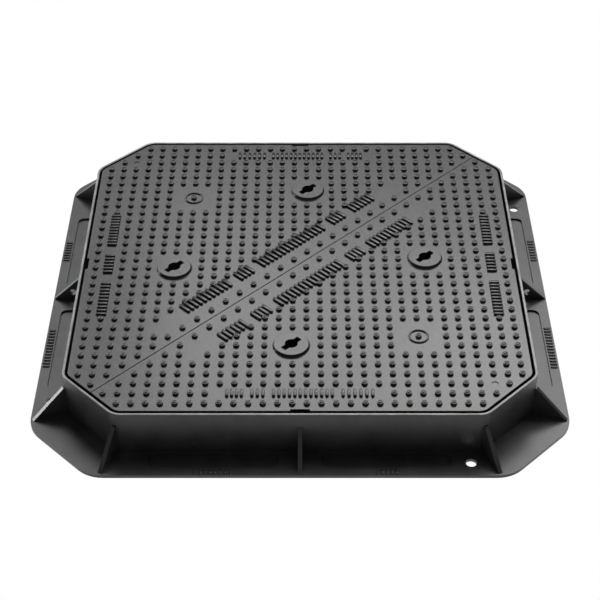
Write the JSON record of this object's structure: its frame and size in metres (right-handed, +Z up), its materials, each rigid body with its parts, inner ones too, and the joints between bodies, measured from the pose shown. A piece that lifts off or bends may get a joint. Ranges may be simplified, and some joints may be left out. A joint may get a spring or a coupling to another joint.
{
  "type": "manhole cover",
  "caption": "Octagonal cast-iron access frame with a bedding flange and gusset ribs, closed by triangular studded cover halves with raised keyways.",
  "frame": {"origin": "middle of the frame's base, on the plane that it beds on", "axes": "+Z up out of the ground; X and Y square to the frame's long sides; the halves meet along the line y = x"},
  "size_m": [0.76, 0.76, 0.077],
  "materials": {
    "cast_iron": "as-cast with black bitumen paint",
    "pad_rubber": "moulded, dull",
    "cup_plastic": "moulded, satin",
    "bolt_steel": "zinc-plated"
  },
  "bodies": {
    "frame": {"frame": "cast_iron", "seat_pad_rear_corner": "pad_rubber", "seat_pad_rear_right": "pad_rubber", "seat_pad_rear_left": "pad_rubber", "seat_pad_front_corner": "pad_rubber", "seat_pad_front_left": "pad_rubber", "seat_pad_front_right": "pad_rubber"},
    "rear_half": {"rear_cover": "cast_iron", "keyway_cup_rear": "cup_plastic", "keyway_cup_left": "cup_plastic", "coupling_bolt_left": "bolt_steel", "head_washer_left": "bolt_steel", "nut_washer_left": "bolt_steel", "lock_nut_left": "bolt_steel", "coupling_bolt_right": "bolt_steel", "head_washer_right": "bolt_steel", "nut_washer_right": "bolt_steel", "lock_nut_right": "bolt_steel"},
    "front_half": {"front_cover": "cast_iron", "keyway_cup_front": "cup_plastic", "keyway_cup_right": "cup_plastic"}
  },
  "joints": [
    {"name": "rear_lift", "type": "slide", "parent": "frame", "child": "rear_half", "axis": [0, 0, 1], "range_m": [0, 0.12]},
    {"name": "front_lift", "type": "slide", "parent": "rear_half", "child": "front_half", "axis": [0, 0, 1], "range_m": [0, 0.12]}
  ]
}
